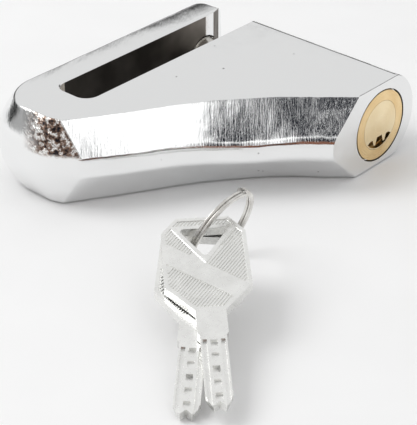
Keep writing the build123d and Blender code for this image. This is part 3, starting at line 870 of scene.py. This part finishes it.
def key_body(name, matrix):
    source = nodes[name]
    mesh = source.data.copy()
    body = bpy.data.objects.new(name + "_plated", mesh)
    bpy.context.collection.objects.link(body)
    mesh.materials.clear()
    mesh.materials.append(key_nickel)
    point_outward(body)
    collar = [(x * 1.3, y * 1.3 + 1.6) for x, y in HOLE]
    for low, high in ((-1.0, RECESS), (KEY_THICK - RECESS, KEY_THICK + 1.0)):
        for polygon in recess_sides():
            cutter = plate("recess", polygon, low, high, matrix)
            keep = plate("collar", collar, low - 1, high + 1, matrix)
            cut(cutter, keep)
            cut(body, cutter)
    edge = body.modifiers.new("edge", "BEVEL")
    edge.width = 0.12 * MM
    edge.segments = 2
    edge.limit_method = "ANGLE"
    edge.angle_limit = math.radians(40)
    edge.use_clamp_overlap = True
    bake_modifiers(body)
    soften(body, 35.0)
    level = body.modifiers.new("level", "WEIGHTED_NORMAL")
    level.keep_sharp = True
    return bake_modifiers(body)


for name, (matrix, body) in KEYS.items():
    plated = key_body(name, matrix)
    ridges = key_ridges(name + "_ridges", matrix)
    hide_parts(name)
    for piece in (plated, ridges):
        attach(piece, body)
    print(name, "has", len(plated.data.polygons), "faces and", len(ridges.data.polygons), "in its ridges")

# %% [markdown]
# ## The split ring
# A split ring is two turns of flat spring wire. Geometry Nodes has a spiral that gives the path, and
# a small rectangle with rounded corners is swept along it. Its size comes as named inputs.


# %% Ring tree
def ring_tree():
    group, entry, output, names = tree_with_inputs("ring_wire", {
        "Radius": "NodeSocketFloat", "Pitch": "NodeSocketFloat", "Turns": "NodeSocketFloat",
        "Wire Width": "NodeSocketFloat", "Wire Height": "NodeSocketFloat", "Corner": "NodeSocketFloat",
        "Material": "NodeSocketMaterial"})
    link = group.links.new
    rise = group.nodes.new("ShaderNodeMath")
    rise.operation = "MULTIPLY"
    link(entry.outputs["Pitch"], rise.inputs[0])
    link(entry.outputs["Turns"], rise.inputs[1])
    path = group.nodes.new("GeometryNodeCurveSpiral")
    path.inputs["Resolution"].default_value = 160
    for target in ("Start Radius", "End Radius"):
        link(entry.outputs["Radius"], path.inputs[target])
    link(entry.outputs["Turns"], path.inputs["Rotations"])
    link(rise.outputs[0], path.inputs["Height"])
    upright = group.nodes.new("GeometryNodeSetCurveNormal")
    upright.mode = "Z_UP"
    link(path.outputs[0], upright.inputs["Curve"])
    section = group.nodes.new("GeometryNodeCurvePrimitiveQuadrilateral")
    link(entry.outputs["Wire Width"], section.inputs["Width"])
    link(entry.outputs["Wire Height"], section.inputs["Height"])
    corner = group.nodes.new("GeometryNodeFilletCurve")
    corner.mode = "POLY"
    corner.inputs["Count"].default_value = 4
    link(section.outputs[0], corner.inputs["Curve"])
    link(entry.outputs["Corner"], corner.inputs["Radius"])
    sweep = group.nodes.new("GeometryNodeCurveToMesh")
    sweep.inputs["Fill Caps"].default_value = True
    link(upright.outputs[0], sweep.inputs["Curve"])
    link(corner.outputs[0], sweep.inputs["Profile Curve"])
    finish_tree(group, sweep.outputs[0], entry, output)
    return group, names


RING_TREE, RING_INPUTS = ring_tree()
print("ring tree inputs:", sorted(RING_INPUTS))

# %% [markdown]
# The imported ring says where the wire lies: its middle is the middle of its corners, and its axis is
# the direction in which they spread least.

# %% Split ring
RING_R, WIRE_WIDTH, WIRE_HEIGHT, RING_PITCH, RING_TURNS = 9.62, 0.95, 0.60, 0.72, 2.0


def ring_place(piece):
    corners = np.array([v.co for v in piece.data.vertices])
    spread = np.linalg.svd(corners - corners.mean(0), full_matrices=False)[2]
    axis, side = Vector(spread[2]), Vector(spread[0])
    if axis.z > 0:
        axis = -axis
    flat = Matrix((side, axis.cross(side), axis)).transposed()
    local = corners @ np.array(flat)
    middle = (local.min(0) + local.max(0)) / 2
    return Matrix.Translation(flat @ Vector(middle)) @ flat.to_4x4()


ring_wire = bpy.data.objects.new("ring_wire", bpy.data.meshes.new("ring_wire"))
bpy.context.collection.objects.link(ring_wire)
grow(ring_wire, RING_TREE, RING_INPUTS, Radius=(RING_R - WIRE_WIDTH / 2) * MM, Pitch=RING_PITCH * MM,
     Turns=RING_TURNS, Wire_Width=WIRE_WIDTH * MM, Wire_Height=WIRE_HEIGHT * MM, Corner=0.14 * MM,
     Material=ring_steel)
place = ring_place(nodes["split_ring"])
ring_wire.data.transform(place @ Matrix.Translation((0, 0, -RING_PITCH * RING_TURNS / 2 * MM)))
soften(ring_wire, 40.0)
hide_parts("split_ring")
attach(ring_wire, "ring")
made = np.array([v.co for v in ring_wire.data.vertices])
print("wire box", ((made.max(0) - made.min(0)) / MM).round(2))

# %% [markdown]
# ## Springs
# Two springs work across a joint. The big one behind the cylinder grows longer as the cylinder comes
# out, and the small one behind the latch gives way. Here each is a copy of the imported coil in spring
# steel, with its length printed; the bodies at its ends are listed, but the coil is not fixed to them.

# %% Springs
SPRINGS = {
    "return_spring": ("cylinder", "shell", 1),
    "latch_spring": ("latch", "cylinder", 0),
}
for name, (first, second, axis) in SPRINGS.items():
    coil = bpy.data.objects.new(name + "_wire", nodes[name].data.copy())
    bpy.context.collection.objects.link(coil)
    coil.data.materials.clear()
    coil.data.materials.append(spring_steel)
    low, high = (Vector(corner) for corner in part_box(name))
    start, end = (low + high) / 2, (low + high) / 2
    start[axis], end[axis] = low[axis], high[axis]
    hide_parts(name)
    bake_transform(coil)
    print(name, "is", round((end - start).length / MM, 2), "mm long")

# %% [markdown]
# ## Floor and light
# A plain pale floor and a bright, even surround, as in a light tent. Chrome shows what stands round
# it: a softbox gives the front its white, and dark gaps between the tent's panels give its black.

# %% Floor
floor_mesh = bpy.data.meshes.new("floor")
REACH = 3.0
floor_mesh.from_pydata([(-REACH, -REACH, 0), (REACH, -REACH, 0), (REACH, REACH, 0), (-REACH, REACH, 0)],
                       [], [(0, 1, 2, 3)])
floor = bpy.data.objects.new("floor", floor_mesh)
floor.location.z = -0.0002
bpy.context.collection.objects.link(floor)
paper = Recipe("pale_paper", (0.93, 0.93, 0.93), 0.7, metallic=0.0)
paper.colour(paper.tones(paper.cloud(40, 2.0), (0.3, (0.92, 0.92, 0.92)), (0.7, (0.94, 0.94, 0.94))))
floor_mesh.materials.append(paper.material)


# %% Lights
def soft_light(name, at, towards, size, power):
    data = bpy.data.lights.new(name, "AREA")
    data.shape = "RECTANGLE"
    data.size, data.size_y = size
    data.energy = power
    light = bpy.data.objects.new(name, data)
    light.location = at
    light.rotation_euler = (Vector(towards) - Vector(at)).to_track_quat("-Z", "Y").to_euler()
    bpy.context.collection.objects.link(light)


TENT_COLOUR = (0.80, 0.80, 0.80)
# direction, cosine where the area starts and where it is full, and its colour
TENT_AREAS = (
    ((-0.30, -0.78, 0.55), 0.90, 0.96, (1.35, 1.35, 1.35)),
    ((-0.38, -0.45, 0.81), 0.976, 0.990, (0.02, 0.022, 0.03)),
    ((-0.75, -0.52, 0.40), 0.92, 0.96, (0.02, 0.022, 0.03)),
    ((0.0, 0.0, 1.0), 0.34, 0.20, (0.03, 0.03, 0.03)),
    ((-0.85, 0.52, 0.05), 0.80, 0.95, (0.42, 0.42, 0.42)),
    ((-0.71, -0.69, 0.12), 0.96, 0.985, (0.26, 0.12, 0.08)),
)


def tent():
    """A bright, even surround with a softbox, and dark where its panels leave a gap."""
    world = bpy.data.worlds.new("tent")
    world.use_nodes = True
    tree = world.node_tree
    direction = tree.nodes.new("ShaderNodeTexCoord").outputs["Generated"]
    total = None
    for towards, start, full, colour in TENT_AREAS:
        dot = tree.nodes.new("ShaderNodeVectorMath")
        dot.operation = "DOT_PRODUCT"
        dot.inputs[1].default_value = Vector(towards).normalized()
        tree.links.new(direction, dot.inputs[0])
        share = tree.nodes.new("ShaderNodeMapRange")
        share.interpolation_type = "SMOOTHSTEP"
        share.inputs["From Min"].default_value = start
        share.inputs["From Max"].default_value = full
        tree.links.new(dot.outputs["Value"], share.inputs["Value"])
        mix = tree.nodes.new("ShaderNodeMix")
        mix.data_type = "RGBA"
        tree.links.new(share.outputs["Result"], mix.inputs["Factor"])
        mix.inputs[6].default_value = (*TENT_COLOUR, 1)
        if total:
            tree.links.new(total, mix.inputs[6])
        mix.inputs[7].default_value = (*colour, 1)
        total = mix.outputs[2]
    tree.links.new(total, tree.nodes["Background"].inputs["Color"])
    tree.nodes["Background"].inputs["Strength"].default_value = 1.0
    bpy.context.scene.world = world


KEY_LIGHT_AT, KEY_LIGHT_SIZE, KEY_LIGHT_WATTS = (-0.45, 0.60, 0.9), (0.6, 0.6), 5.0

tent()
soft_light("key_light", KEY_LIGHT_AT, (0, 0, 0), KEY_LIGHT_SIZE, KEY_LIGHT_WATTS)
bpy.context.scene.view_settings.view_transform = "Standard"
print("lights set")
